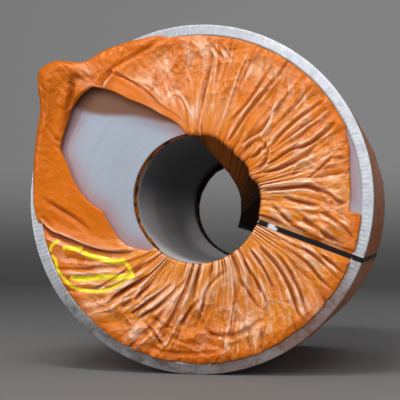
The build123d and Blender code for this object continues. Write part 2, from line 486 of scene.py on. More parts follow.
class Finish:
    """A material in the making, on one Principled shader."""

    def __init__(self, name, **fixed):
        self.material = bpy.data.materials.new(name)
        self.material.use_nodes = True
        self.tree = self.material.node_tree
        self.shader = self.tree.nodes["Principled BSDF"]
        for socket, value in fixed.items():
            self.shader.inputs[socket.replace("_", " ")].default_value = value

    def node(self, kind, settings, values, output=0):
        """Adds a node, sets it, then fills its sockets with numbers, colours or Terms."""
        made = self.tree.nodes.new(kind)
        for key, value in settings.items():
            setattr(made, key, value)
        for key, value in values.items():
            self.fill(made.inputs[key], value)
        return Term(self, made.outputs[output])

    def fill(self, socket, value):
        """Links a Term to a socket, or sets a plain value on it."""
        if isinstance(value, Term):
            self.tree.links.new(value.socket, socket)
        else:
            socket.default_value = value

    def colours(self, low, high, share):
        """A mix of two colours, each a triple or a Term."""
        low, high = (c if isinstance(c, Term) else (*c, 1.0) for c in (low, high))
        settings = {"data_type": "RGBA", "clamp_factor": True}
        return self.node("ShaderNodeMix", settings, {0: share, 6: low, 7: high}, output=2)

    def place(self):
        """Object coordinates, whole and as x, y and z."""
        whole = self.node("ShaderNodeTexCoord", {}, {}, output="Object")
        return whole, *self.split(whole)

    def split(self, vector):
        """The x, y and z of a vector."""
        return [self.node("ShaderNodeSeparateXYZ", {}, {0: vector}, output=i) for i in range(3)]

    def joined(self, x, y, z):
        """A vector from its x, y and z."""
        return self.node("ShaderNodeCombineXYZ", {}, {0: x, 1: y, 2: z})

    def radius(self, x, z):
        """Distance from the coil's axis."""
        return (x * x + z * z).math("SQRT")

    def attribute(self, name, output="Fac"):
        """What the mesh holds at a place under this name."""
        settings = {"attribute_name": name, "attribute_type": "GEOMETRY"}
        return self.node("ShaderNodeAttribute", settings, {}, output=output)

    def grain(self, at, scale, detail=3.0, rough=0.55):
        """Fractal noise from 0 to 1."""
        values = {"Vector": at, "Scale": scale, "Detail": detail, "Roughness": rough}
        return self.node("ShaderNodeTexNoise", {}, values)

    def cells(self, at, scale=1.0):
        """A random tone from 0 to 1 for each cell."""
        colour = self.node("ShaderNodeTexVoronoi", {}, {"Vector": at, "Scale": scale}, output="Color")
        return self.node("ShaderNodeSeparateColor", {}, {0: colour})

    def facets(self, x, y, z):
        """Distance to the nearest crease between random facets, and each facet's own tone, 0 to 1."""
        at = self.joined(x, y, z)
        edge, values = {"feature": "DISTANCE_TO_EDGE"}, {"Vector": at, "Scale": 1.0}
        return self.node("ShaderNodeTexVoronoi", edge, values, output="Distance"), self.cells(at)

    def bump(self, height, depth, strength=1.0):
        """Fine relief: a height times a depth in metres."""
        values = {"Strength": strength, "Distance": depth, "Height": height}
        self.use("Normal", self.node("ShaderNodeBump", {}, values))

    def use(self, socket, value):
        """Fills one socket of the shader."""
        self.fill(self.shader.inputs[socket], value)


def steel_finish(colour):
    """Rolled strip: fine turns on the ends, and a duller bore with streaks along it.

    The bore is darkened as painted shade, with painted light low down and near its mouth. The seen
    end takes the film's painted brown shadow and painted pink bounce.
    """
    finish = Finish("rolled_steel")
    whole, x, y, z = finish.place()
    # Colours of the film's painted pink bounce and painted brown shadow on the seen end, then of the bore's
    # wall in painted shade and painted light.
    bounce_pink, brown = (0.42, 0.24, 0.25), (0.235, 0.10, 0.052)
    dark, bright = (0.03, 0.021, 0.017), (0.88, 0.81, 0.77)
    radius = finish.radius(x, z)
    outwards = finish.joined(radius, 0.0, 0.0)
    turns = finish.grain(outwards, 520.0, detail=4.0, rough=0.7)
    bands = finish.grain(outwards, 60.0, detail=2.0)
    cloud = finish.grain(whole, 5.0)
    streak = finish.grain(finish.joined(x * 30.0, y * 2.0, z * 30.0), 1.0, detail=4.0)
    light = turns.step(0.25, 0.7) * 0.35 + bands * 0.25 + cloud * 0.4
    bare = finish.colours(scaled(colour, 0.72), colour, light)
    # The film's painted pink bounce beside its edges, then its painted brown shadow below the hem.
    with_bounce = finish.colours(bare, bounce_pink, finish.attribute("painted_bounce"))
    face = finish.colours(with_bounce, brown, finish.attribute("shade"))
    # The bore's wall: dark as painted shade, and lighter low down and near its mouth as painted light.
    deep = y + HALF
    low = (z + x * 0.5 + 0.12).step(0.1, -0.12) * (1.6 - deep.step(0.0, 1.1)) * (0.5 + streak * 0.5)
    mouth = (1 - deep.step(0.08, 0.11)) * (x * -1.0).step(0.17, 0.23) * (0.2 + streak * 0.4)
    inside = 1 - radius.step(BORE_R - 0.0015, BORE_R + 0.003)
    finish.use("Metallic", 0.55 - inside * 0.4)
    finish.use("Base Color", finish.colours(face, finish.colours(dark, bright, low + mouth), inside))
    finish.use("Roughness", 0.42 + turns * 0.12 + cloud * 0.1 + inside * 0.08)
    finish.bump(turns * 0.5 + bands, 0.00015, 0.4)
    return finish.material


# What tints the film at a point: its fold, from -1 in a valley to 1 on a ridge, which sets painted shade in
# valleys and painted highlights on ridges, and then its painted shade with some dirt, paint, gloss with
# painted sheen, crumpling and painted highlight places, from 0 up.
FILM_MARKS = ("fold", "inside", "spray", "glint", "loose", "pale")


def film_finish(colour, spray):
    """Glossy film with flat facets between sharp creases, with painted sheen on its pleats, painted shade
    in its folds and painted highlights on its ridges and lit facets.

    The pleat attribute holds the cosine and sine of a place's turned angle, and its share of the way
    out or its place along the barrel. Cells and noise on the cylinder they make are drawn out along
    the pleats.
    """
    finish = Finish("orange_film", Specular_IOR_Level=0.2, Coat_Roughness=0.12)
    whole, x, y, z = finish.place()
    fold, inside, paint, glint, loose, highlight_places = (finish.attribute(name) for name in FILM_MARKS)
    across, along, share = finish.split(finish.attribute("pleat", "Vector"))
    # Colours of the painted shade in folds, of painted shade with some dirt, and of the painted highlights
    # and sheen.
    deep, shade_and_dirt, pale = (0.22, 0.03, 0.002), (0.006, 0.003, 0.002), (0.95, 0.58, 0.38)
    # A brighter copy of the film's colour as painted sheen on its pleats, and a redder one for painted
    # shade.
    sheen_lit, red = scaled(colour, 1.2, 1.58, 2.0), scaled(colour, 0.95, 0.82, 0.6)
    streaks = finish.grain(finish.joined(across * 26.0, along * 26.0, share * 2.2), 1.0, detail=4.0)
    patch = finish.grain(finish.joined(across * 13.0, along * 13.0, share * 3.5), 1.0, rough=0.65)
    bend = finish.grain(whole, 9.0)
    crumple = finish.grain(whole, 24.0, detail=4.0, rough=0.6)
    swing = bend * 2.0
    long, long_tone = finish.facets(across * 11.0 + swing, along * 11.0, share * 2.4)
    short, short_tone = finish.facets(across * 24.0, along * 24.0 + swing, share * 5.0)
    broad, broad_tone = finish.facets(x * 10.0 + swing, y * 10.0, z * 10.0)
    small = finish.facets(x * 27.0 + swing, y * 27.0, z * 27.0)[0]
    # Painted light on the facets: creases, facets with a low random tone and random streaks are reddened as
    # painted shade; ridges, facets with a high tone, crease lines and pale places are paled as painted
    # highlights and sheen.
    crease = (1 - long.step(0.0, 0.05)).math("MAXIMUM", (1 - broad.step(0.0, 0.035)) * loose)
    shaded_facets = (1 - long_tone) * 0.2 + (1 - broad_tone) * loose * 0.45
    reddened_and_shaded = streaks.step(0.45, 0.72) * 0.35 + crease * (1 - patch) * 0.5 + shaded_facets
    body = finish.colours(finish.colours(colour, sheen_lit, glint), red, reddened_and_shaded)
    facing = short_tone.step(0.45, 0.65)
    shine = fold.step(0.0, 0.9) * (0.2 + facing * 0.75) + patch.step(0.52, 0.7) * facing * 0.45
    gleam = crease * patch.step(0.42, 0.58)
    highlight_bloom = (broad_tone.step(0.45, 0.5) * 0.15 + facing * 0.4 + long_tone.step(0.5, 0.6) * 0.2) * highlight_places
    crest = fold.step(0.65, 1.0) * 0.6
    highlighted = finish.colours(body, pale, (shine + gleam * 0.7) * glint + highlight_bloom + crest)
    # Painted shade in the fold valleys, less of it high up, then painted shade with some dirt on the film
    # in the bore, on the flap and on the barrel.
    crease_shade = (1 - fold).step(1.15, 1.95) * (0.9 - z.step(0.1, 0.4) * 0.35)
    crease_and_tuck_shaded = finish.colours(finish.colours(highlighted, deep, crease_shade), shade_and_dirt, inside)
    finish.use("Base Color", finish.colours(crease_and_tuck_shaded, spray, paint * crumple.step(0.25, 0.42)))
    finish.use("Metallic", inside * 0.85)
    finish.use("Roughness", 0.22 + bend * 0.16 + paint * 0.25 + inside * 0.3)
    finish.use("Coat Weight", glint * (1 - inside) * 0.6)
    drawn = (0.5 - long) * 12.0 + (0.5 - short) * 3.0
    crumpled = ((0.5 - broad) * 20.0 + (0.5 - small) * 3.0) * loose
    finish.bump(drawn * (0.3 + glint * 0.7) + crumpled + (streaks - 0.5).math("ABSOLUTE"), 0.001)
    return finish.material


def zinc_finish(colour):
    """Galvanised sheet: bright cool metal with a faint spangle and weathering in patches, darker at the top
    as painted shade, and darker and browner low down as painted shade and painted reflection of the orange
    film, with some soiling.
    """
    finish = Finish("galvanised_sheet", Metallic=0.6)
    whole, x, _, z = finish.place()
    grey, warm_brown = (0.15, 0.13, 0.125), (0.22, 0.115, 0.08)
    tone = finish.cells(whole, 95.0)
    cloud = finish.grain(whole, 9.0)
    blotch = finish.grain(whole, 24.0, detail=5.0, rough=0.65).step(0.5, 0.62)
    # The top is darkened as painted shade against the lamps' glare.
    top_shade = z.step(0.4, 0.66) * (1 - x.step(0.1, 0.45)) * 0.75
    share = cloud.step(0.45, 0.75) * 0.3 + blotch * 0.4 + tone * 0.15 + top_shade
    clean = finish.colours(colour, scaled(colour, 0.6), share)
    # Darker and browner towards the bottom and the right: painted shade and painted reflection of the
    # orange film, with some grime.
    stain = finish.colours(grey, warm_brown, x.step(-0.3, 0.4))
    low_shade_and_grime = (z - x * 0.05).step(-0.15, -0.5) * (0.6 + cloud.step(0.4, 0.65) * 0.25 + blotch * 0.25)
    finish.use("Base Color", finish.colours(clean, stain, low_shade_and_grime))
    finish.use("Roughness", 0.3 + tone * 0.08 + cloud * 0.12)
    finish.bump(tone, 0.0002, 0.3)
    return finish.material


GLINT_R = 0.315  # where a painted highlight on the strap, as rubbed-off lacquer, lies on the seen end


def strap_finish():
    """Black lacquer on steel strapping, scuffed to bare metal here and there, with a painted highlight near
    the bore as a rubbed bare spot.
    """
    finish = Finish("black_lacquer", Specular_IOR_Level=0.2)
    _, x, y, z = finish.place()
    black, steel = (0.003, 0.003, 0.004), (0.75, 0.76, 0.78)
    scratch = finish.grain(finish.joined(x * 14.0, y * 3.0, z * 14.0), 3.0, detail=5.0)
    front = 1 - (y + HALF).step(0.0, 0.004)
    # A painted highlight: a bare, rubbed band near the bore on the seen end.
    glint_spot = (1 - (finish.radius(x, z) - GLINT_R).math("ABSOLUTE").step(0.012, 0.024)) * front
    bare = (scratch.step(0.66, 0.74) + glint_spot * scratch.step(0.42, 0.48)).math("MINIMUM", 1.0)
    finish.use("Base Color", finish.colours(black, steel, bare))
    finish.use("Roughness", 0.35 + scratch * 0.2)
    finish.use("Metallic", bare * 0.7)
    finish.bump(scratch, 0.0003, 0.4)
    return finish.material


def triangle(phase, peak=0.5):
    """A wave of straight flanks from 0 to 1 and back, with its peak at this share of each period."""
    t = phase % 1
    return np.where(t < peak, t / peak, (1 - t) / (1 - peak))


def creases(x, z, count, width, seed):
    """Straight creases at many angles: a sum of triangle waves, each faded in and out by noise."""
    rng = np.random.default_rng(seed)
    total = np.zeros(x.shape)
    for k in range(count):
        angle = math.pi * (k + rng.uniform(-0.3, 0.3)) / count
        spacing = width * rng.uniform(0.7, 1.4)
        bend = 0.25 * noise(x * 6 + 40, z * 6 + 40, 97, seed + 20 + k)
        across = (x * math.cos(angle) + z * math.sin(angle)) / spacing + rng.uniform() + bend
        shown = ease(noise(x * 7 + 50, z * 7 + 50, 97, seed + k), -0.15, 0.5)
        total += triangle(across) * shown
    return total / math.sqrt(count)


def smooth_path(path, steps):
    """A Catmull-Rom curve through a path's points, in metres, with this many spans between two."""
    points = np.array(path, float) / 1000
    ends = [2 * points[0] - points[1]], [2 * points[-1] - points[-2]]
    padded = np.vstack([ends[0], points, ends[1]])
    t = np.linspace(0, 1, steps, endpoint=False)[:, None]
    runs = []
    for a, b, c, d in zip(padded, padded[1:], padded[2:], padded[3:]):
        runs.append(b + 0.5 * t * (c - a + t * (2 * a - 5 * b + 4 * c - d + t * (3 * (b - c) + d - a))))
    return np.vstack([*runs, points[-1:]])


def along_path(x, z, points):
    """Distance from each place to a path, its side of it, and the share of the path's length there."""
    spans = np.diff(points, axis=0)
    lengths = np.hypot(*spans.T)
    starts = np.concatenate([[0], np.cumsum(lengths)])
    nearest = np.full(x.shape, 9.0)
    side = np.zeros(x.shape)
    share = np.zeros(x.shape)
    for (x0, z0), (dx, dz), length, start in zip(points, spans, lengths, starts):
        u = np.clip(((x - x0) * dx + (z - z0) * dz) / length**2, 0, 1)
        px, pz = x - x0 - u * dx, z - z0 - u * dz
        distance = np.hypot(px, pz)
        closer = distance < nearest
        nearest = np.where(closer, distance, nearest)
        side = np.where(closer, np.sign(dx * pz - dz * px), side)
        share = np.where(closer, (start + u * length) / starts[-1], share)
    return nearest, side, share


# A fold's profile: places across it in half widths, and its height there as a share of its depth.
FOLD_ACROSS, FOLD_UP = (-4.5, -1.8, 0, 1.3, 4), (0, 0.35, -0.75, 0.55, 0)


def add_fold(height, x, z, fold):
    """Adds one fold to a height: a sharp valley along a path, with a sharp ridge on each side.

    Across the path the profile is made of straight flanks. Along it the fold tapers to nothing at the
    ends, as the root of a sine.
    """
    depth, width, *path = fold
    points = smooth_path(path, 3)
    reach = 5 * width / 1000
    low, high = points.min(axis=0) - reach, points.max(axis=0) + reach
    near = (x > low[0]) & (x < high[0]) & (z > low[1]) & (z < high[1])
    distance, side, share = along_path(x[near], z[near], points)
    taper = np.sqrt(np.clip(np.sin(np.pi * share), 0, 1))
    across = distance * side / (width / 1000)
    height[near] += depth / 1000 * taper * np.interp(across, FOLD_ACROSS, FOLD_UP)


def line_at(path, x):
    """A path's height z at each x, in metres."""
    across, up = np.array(path, float).T / 1000
    return np.interp(x, across, up)


def spot(x, z, middle, reach):
    """exp(-(distance / reach)^2) round a place that is given in millimetres, as its reach is."""
    distance = np.hypot(x - middle[0] / 1000, z - middle[1] / 1000)
    return np.exp(-((distance / (reach / 1000)) ** 2))


def ridges(height, steps, scale):
    """How far a height stands above its mean over the places round from it, on this scale, -1 to 1."""
    smooth = height
    for step in steps:
        smooth = (np.roll(smooth, step, 0) + np.roll(smooth, -step, 0) + smooth) / 3
    return np.clip((height - smooth) / scale, -1, 1)


def film_marks(turn, share, **given):
    """A film's attributes, one row for each point: its pleat, the marks given, and 0 for the others."""
    turn, share = np.broadcast_arrays(turn, share)
    pleat = np.stack([np.cos(turn), np.sin(turn), share], axis=-1)
    marks = {key: np.broadcast_to(given.get(key, 0.0), turn.shape).reshape(-1, 1) for key in FILM_MARKS}
    return {"pleat": pleat.reshape(-1, 3), **marks}


# Pleats in three sizes: how many, their height, what is added to it at the bore, and how often they
# change on their way out.
PLEAT_SIZES = ((17, 0.5, 0.0, 0.8), (38, 0.62, 0.15, 1.1), (94, 0.15, 0.42, 1.8))

# Rows of an end film's grid: in the bore or the torn hem, over the end, and at the rim.
INNER_ROWS, FACE_ROWS, RIM_ROWS = 13, 58, 15
IN_BORE = 0.6  # share of the inner rows that lie in the bore, before the lip
BEFORE_HEM = 0.35  # share of the inner rows that lead up to a torn hem's curl
TO_FOOT = 0.7  # share of the rim's rows that come down to the ring, before those under it
TO_CREST = 0.35  # share of the rim's rows that climb to the flap's crest
SKIN = 0.0009  # the least height of film over the steel
LIP_R = 0.009  # the film's bend into the bore
HEM_R = 0.006  # the curl of a torn edge
HEM_BACK = 0.02  # how far a torn edge is turned back under the film
PUFF = 0.0065  # usual height of the film over the end, below its pleats
WALL_GAP = 0.003  # from the bore to the film tucked into it
SHOULDER = 0.024  # from the ring's mouth back to where the film starts down to it
UNDER_RING = 0.03  # how far the film goes on under the ring
PRESSED = 0.0145  # half the width that the strap presses flat
DROOP = 0.7  # how far the tuck sags down for each unit that it hangs inwards
LEAN = 0.4  # how far a pleat leans round for each unit of its height


class EndFilm:
    """The film over one end, as heights and radii on a grid of angle by path.

    A row of the grid follows the film from inside the bore, round the lip, over the end and under the
    ring. Where the film is torn, the row starts in a curled hem at the window's edge instead, and where
    it lies over the ring, the row ends in a rounded flap.
    """

    def __init__(self, settings, front):
        self.settings = settings
        self.front = front
        self.seed = 11 if front else 47
        self.degrees = np.linspace(0, 360, settings.around, endpoint=False)
        self.theta = np.radians(self.degrees)[:, None]
        self.torn = self.lying(TORN, 3)
        self.over = self.lying((FLAP[0] + 5, FLAP[1] - 5), 5)
        self.drawn = self.lying((DRAWN[0] + 0.4, DRAWN[1] - 2), 1.2)
        self.drawn_edge = self.table(DRAWN_EDGE, 0.8, 630) / 1000
        self.flap_edge = self.table(FLAP_EDGE, 0.6, 650) / 1000
        self.crest = self.table(FLAP_HEIGHT, 2, 10) / 1000

    def lying(self, ends, soft):
        """1 between two angles on the front film, falling to 0 beside them and on the back film."""
        return between(self.degrees, ends, soft) if self.front else np.zeros_like(self.theta)

    def table(self, values, blur, plain):
        """A table's values round the front film, softened, or one plain value round the back film."""
        return around(self.degrees, values, blur) if self.front else np.full_like(self.theta, plain)

    def ripple(self, cell, v, seed):
        """Noise round the film, on cells this many degrees wide."""
        return noise(self.degrees[:, None] / cell, v, 360 // cell, self.seed + seed)

    def inner_path(self):
        """Radius, height and hang of the rows before the end.

        They are the tuck, which hangs inwards in the bore, and the quarter round of the lip. Where the
        film is torn they are mixed with its hem, whose edge is a half round turned under the film.
        """
        a = np.linspace(0, 1, INNER_ROWS)[None, :]
        sag = self.table(LIP_SAG, 1.5, 0) / 1000 * (1 + 0.45 * self.ripple(8, 0.0, 3))
        ragged = (0.25 if self.front else 0.08) * self.ripple(5, 0.0, 1)
        depth = self.table(TUCK_REACH, 1, 45) / 1000 * (1 + ragged)
        bend = LIP_R + 0.3 * sag
        along = np.clip(a / IN_BORE, 0, 1)
        turn = np.clip((a - IN_BORE) / (1 - IN_BORE), 0, 1) * np.pi / 2
        to_go = (depth - bend) * (1 - along)
        hang = self.table(TUCK_SLACK, 0.5, 34) / 1000 * ease(to_go, -0.01, 0.08) * (a < IN_BORE)
        wall = BORE_R - WALL_GAP - sag * ease(along, 0.3, 1)
        tuck_r = wall - hang + bend * (1 - np.cos(turn))
        tuck_h = PUFF - bend * (1 - np.sin(turn)) - to_go
        curl = np.clip((a - BEFORE_HEM) / (1 - BEFORE_HEM), 0, 1) * np.pi
        back = HEM_BACK * (1 - np.clip(a / BEFORE_HEM, 0, 1))
        hem_r = self.table(WINDOW_EDGE, 0.5, 0) / 1000 + HEM_R - HEM_R * np.sin(curl) + back
        hem_h = self.table(HEM_HEIGHT, 2, 0) / 1000 - HEM_R - HEM_R * np.cos(curl)
        r, h = mixed(tuck_r, hem_r, self.torn), mixed(tuck_h, hem_h, self.torn)
        return r, h, hang * (1 - self.torn)

    def rim_path(self, start_r, start_h):
        """Radius and height of the last rows: under the ring, drawn in from it, or over it."""
        b = np.linspace(0, 1, RIM_ROWS + 1)[None, 1:]
        turn = np.clip(b / TO_FOOT, 0, 1) * np.pi / 2
        under = np.clip((b - TO_FOOT) / (1 - TO_FOOT), 0, 1)
        ends = (FLAP[0] - 2, FLAP[0] + 7), (FLAP[1] - 7, FLAP[1] + 2)
        held = 1 - np.maximum(*(self.lying(end, 3) for end in ends))
        under_r = mixed(start_r, MOUTH_R - 0.001, np.sin(turn)) + UNDER_RING * under * held
        under_h = SKIN + (start_h - SKIN) * np.cos(turn)
        drawn_r = mixed(start_r, self.drawn_edge, np.sin(turn)) - 0.008 * under
        half_r, half_h = (self.flap_edge - start_r) * 0.42, self.crest * 0.46
        middle = self.flap_edge - half_r
        curl = np.radians(90 - 165 * np.clip((b - TO_CREST) / (1 - TO_CREST), 0, 1))
        climb_r = mixed(start_r, middle, b / TO_CREST)
        climb_h = mixed(start_h, self.crest, ease(b, 0, TO_CREST))
        flap_r = np.where(b < TO_CREST, climb_r, middle + half_r * np.cos(curl))
        flap_h = np.where(b < TO_CREST, climb_h, self.crest - half_h * (1 - np.sin(curl)))
        r = mixed(mixed(under_r, drawn_r, self.drawn), flap_r, self.over)
        return r, mixed(under_h, flap_h, self.over)

    def base(self):
        """Radius and height over the whole grid, before any folds, and the hang of its inner rows."""
        inner_r, inner_h, hang = self.inner_path()
        s = np.linspace(0, 1, FACE_ROWS + 1)[None, 1:]
        start_r, start_h = inner_r[:, -1:], inner_h[:, -1:]
        plain_r = MOUTH_R - SHOULDER
        end_r = mixed(mixed(plain_r, self.drawn_edge - 0.014, self.drawn), plain_r, self.over)
        end_r = np.maximum(end_r, start_r + 0.25 * (self.flap_edge - start_r) * self.over)
        end_h = mixed(PUFF * mixed(1.3, 0.8, self.drawn), 0.8 * self.crest, self.over)
        face_r, face_h = mixed(start_r, end_r, s), mixed(start_h, end_h, ease(s, 0, 1))
        rim_r, rim_h = self.rim_path(end_r, end_h)
        return np.hstack([inner_r, face_r, rim_r]), np.hstack([inner_h, face_h, rim_h]), hang

    def lengths(self):
        """The length of each row, from one edge of the film to the other."""
        r, h, _ = self.base()
        return np.hypot(np.diff(r, axis=1), np.diff(h, axis=1)).sum(axis=1)

    def turned(self, share):
        """The angle of the pleat through each place: its own angle plus the swirl left to go."""
        swirl = self.table(SWIRL, 6, -10) * (1 - share)
        return self.degrees[:, None] + swirl + 2.0 * self.ripple(9, share * 3.0, 2) * share

    def relief(self, r, share, turned):
        """Height of pleats, crumples and folds over the plain film.

        Pleats are triangle waves of the turned angle, in three sizes. Slow noise shifts their phase and
        fades them, so that they bunch, start and stop. Crumples are creases on the plane of the end.
        The front film adds its own folds and knots.
        """
        x, z = r * np.cos(self.theta), r * np.sin(self.theta)
        turn = turned % 360 / 360
        pleats = 0
        for k, (number, plain, gather, spells) in enumerate(PLEAT_SIZES):
            seed = self.seed + 30 + 5 * k
            shift = 1.7 * noise(turn * 18, share * spells * 0.6, 18, seed)
            shift = shift + 0.3 * noise(turn * 60, share * spells, 60, seed + 1)
            spell = noise(turn * number * 0.5, share * spells + 9, number // 2, seed + 2)
            height = (plain + gather * (1 - share)) * np.clip(0.5 + 1.1 * spell, 0, 1.4)
            pleats = pleats + height * triangle(turn * number + shift, 0.38)
        pleats = self.settings.pleat * pleats * self.table(PLEATING, 4, 1.6)
        loose = ease(share, 0.2, 0.8) * self.table(CRUMPLE, 5, 0.8)
        crumples = creases(x, z, 6, 0.09, self.seed + 60) + 0.3 * creases(x, z, 5, 0.034, self.seed + 90)
        folds = 0.003 * noise(x * 8 + 30, z * 8 + 30, 97, self.seed + 8)
        for fold in FOLDS if self.front else ():
            add_fold(folds, x, z, fold)
        for *middle, height, reach in KNOTS if self.front else ():
            folds += height / 1000 * spot(x, z, middle, reach)
        calm = 1 - 0.75 * self.smooth_band(x, z)
        return (pleats + self.settings.crumple * loose * crumples) * calm + folds

    def smooth_band(self, x, z):
        """1 on the smooth band between the window and the fold along it, and 0 elsewhere."""
        if not self.front:
            return np.zeros(x.shape)
        start, end = SMOOTH_BAND[0][0] / 1000, SMOOTH_BAND[-1][0] / 1000
        along = ease(x, start - 0.01, start + 0.01) * (1 - ease(x, end - 0.03, end))
        return along * ease(line_at(SMOOTH_BAND, x) - z, -0.004, 0.004) * (z > 0)

    def lift(self, r, h, relief):
        """Moves the film along its own normal by the relief, never into the steel, and leans it round."""
        columns = np.arange(r.shape[1])[None, :]
        last = r.shape[1] - 1
        hem = ease(columns, INNER_ROWS * IN_BORE, INNER_ROWS + 2)
        frill = 0.1 + 0.3 * self.lying(FRILLED, 10)
        hem = mixed(mixed(frill, 1, hem) * ease(columns, -1, 5), hem, self.torn)
        under = 1 - ease(columns, last - 8, last - 3)
        flap = 1 - 0.4 * ease(columns, last - 8, last)
        relief = relief * hem * mixed(under, flap, self.over)
        dr, dh = np.gradient(r, axis=1), np.gradient(h, axis=1)
        length = np.hypot(dr, dh) + 1e-9
        moved_r = r - relief * dh / length
        moved_h = h + relief * dr / length
        over_steel = ease(moved_r, BORE_R - 0.001, BORE_R + 0.003)
        floor = mixed(moved_h, SKIN, over_steel)
        theta = self.theta + LEAN * relief / np.maximum(r, BORE_R)
        return moved_r, np.maximum(moved_h, floor), theta

    def pressed(self, r, h, theta):
        """Presses the film flat where the strap crosses it."""
        reach = np.where(h > -0.01, 0.03, 0.018)
        press = 1 - ease(off_strap(theta, np.maximum(r, 0.2)), PRESSED, reach)
        tight_r = np.where(h > SKIN, np.maximum(r, BORE_R + 0.001), BORE_R - 0.0001)
        return mixed(r, tight_r, press), mixed(h, np.minimum(h, SKIN), press)

    def points(self):
        """The grid's points, and the marks that tint the film there."""
        r, h, hang = self.base()
        share = np.clip((r - BORE_R) / END_WIDTH, 0, 1.1)
        turned = self.turned(share)
        relief = self.relief(r, share, turned)
        r, h, theta = self.lift(r, h, relief)
        r, h = self.pressed(r, h, theta)
        points = placed(r, (HALF + h) * (-1 if self.front else 1), theta)
        points[:, :INNER_ROWS, 2] -= DROOP * hang
        marks = self.marks(points[..., 0], points[..., 2], h, share, relief)
        return points, film_marks(np.radians(turned), share, **marks)

    def marks(self, x, z, h, share, relief):
        """Folds set painted shade in the film's valleys and painted highlights on its ridges, painted shade
        with some soiling grows into the bore, and its calm bands get less gloss and painted sheen.

        The front film adds painted shade beside its panel, painted highlight places and paint. The back
        film adds a pale arc on its edge in the bore, painted as light falling on it.
        """
        fold = ridges(relief, (3, 5), 0.0018 + 0.0025 * ease(share, 0, 0.4))
        # Painted shade, with some dirt, on the film that goes into the bore.
        inside = ease(-h, -0.001, 0.004) * self.table(TUCK_SHADE_AND_DIRT, 4, 1)
        # A little painted shade on the outer part of the flap.
        inside = np.maximum(inside, 0.16 * self.over * ease(share, 1.02, 1.1))
        lip = self.lying(DULL_LIP, 15) * (1 - ease(share, 0.02, 0.16))
        calm = np.maximum(self.smooth_band(x, z), lip)
        foot = 0.6 * ease(share, 0.35, 0.5) * self.lying(DULL_FOOT, 7)
        # The share of painted sheen and coat gloss: most on the pleats, less on the outer belt, the calm
        # bands and at the foot.
        sheen_share = ease(self.table(PLEATING, 4, 0.9), 0.1, 0.7) * (1 - 0.8 * ease(share, 0.84, 0.95))
        glint = sheen_share * (1 - 0.7 * calm) * (1 - foot)
        loose = self.table(CRUMPLE, 5, 0.8) * ease(share, 0.05, 0.7) * (1 - 0.8 * calm)
        pale = spray = 0.0
        if self.front:
            # Painted shade along the dark fold beside the flap's panel.
            beside = along_path(x, z, smooth_path(PANEL_SHADE, 6))[0]
            fold = mixed(fold, -1.2, np.exp(-((beside / 0.021) ** 2)))
            # Painted highlight places, which also lift the painted shade of the folds there.
            pale = np.max([spot(x, z, middle, reach) for *middle, reach in HIGHLIGHT_PLACES], axis=0)
            fold = np.maximum(fold, 0.8 * pale - 1)
            spray = sprayed(x, z)
        else:
            # A painted lit arc on the back film's edge in the bore: paler, with its painted shade taken
            # away.
            lit = between(self.degrees, LIT_EDGE, 10)
            inside[:, 2:4] *= 1 - 0.9 * lit
            fold[:, 2:4] = mixed(fold[:, 2:4], 1, lit)
        return dict(fold=fold, inside=inside, glint=glint, loose=loose, pale=pale, spray=spray)


def remnant():
    """The strip of torn film left in the bore's mouth below the window, as a ragged band.

    Its radius is the bore's less a wandering gap, and its two edges wander along the bore.
    """
    degrees = np.linspace(TORN[0] - 7, TORN[1] + 6, 260)[:, None]
    across = np.linspace(0, 1, 8)[None, :]
    gap = 0.003 + 0.006 * across + 0.003 * noise(degrees / 3, across * 2, 97, 6) * across
    front = 0.001 + 0.002 * noise(degrees / 4, 0.0, 97, 5)
    back = -0.018 - 0.009 * noise(degrees / 6, 0.0, 97, 7)
    theta = np.radians(degrees)
    points = placed(BORE_R - gap, -(HALF + mixed(front, back, across)), theta)
    stain = 0.25 + 0.6 * ease(noise(degrees / 5, across * 1.5, 97, 12), -0.1, 0.5)
    return points, film_marks(theta, 0 * across, inside=stain)


def sprayed(x, z):
    """The strength of the spray mark, from 0 to 1: full inside each stroke and soft at its sides."""
    strength = np.zeros(x.shape)
    for half_width, *path in SPRAY:
        distance = along_path(x, z, smooth_path(path, 3))[0]
        stroke = 1 - ease(distance, 0.0007 * half_width, 0.0014 * half_width)
        strength = np.maximum(strength, stroke * min(1.0, 0.6 + half_width / 20))
    return strength


def end_film(settings, front):
    """One end's film as a piece. The front one holds the remnant too."""
    film = EndFilm(settings, front)
    points, marks = film.points()
    points, faces = grid(points, turned=not front)
    if front:
        strip, strip_marks = remnant()
        strip, strip_faces = grid(strip, closed=False, turned=True)
        faces = np.vstack([faces, strip_faces + len(points)])
        points = np.vstack([points, strip])
        marks = {key: np.vstack([values, strip_marks[key]]) for key, values in marks.items()}
    end = "front" if front else "back"
    piece = mesh_object(f"gathered_film_{end}", points, faces, "film", f"end_film_{end}", marks)
    lengths = film.lengths()
    return piece


RING_THICK, RING_CORNER = 0.001, 0.003  # the ring's sheet, and the rounding of its corner


def ring_section():
    """The ring's section, as radius and height: up its inner side to the mouth, and back along its outer.

    Each side is a flange on the end, a quarter round and a flange on the barrel.
    """
    middle_r, middle_h = RING_R - RING_CORNER, RING_FACE - RING_CORNER
    turn = np.linspace(0, np.pi / 2, 6)[1:]
    down = RING_LENGTH - RING_CORNER

    def side(sunk, stops):
        bend = RING_CORNER - sunk
        points = [(r, RING_FACE - sunk) for r in np.linspace(MOUTH_R, middle_r, 6)]
        points += [(middle_r + bend * math.sin(a), middle_h + bend * math.cos(a)) for a in turn]
        return points + [(RING_R - sunk, middle_h - down * t) for t in stops]

    return np.array(side(RING_THICK, (1.0,))[::-1] + side(0.0, (0.33, 0.66, 1.0)))


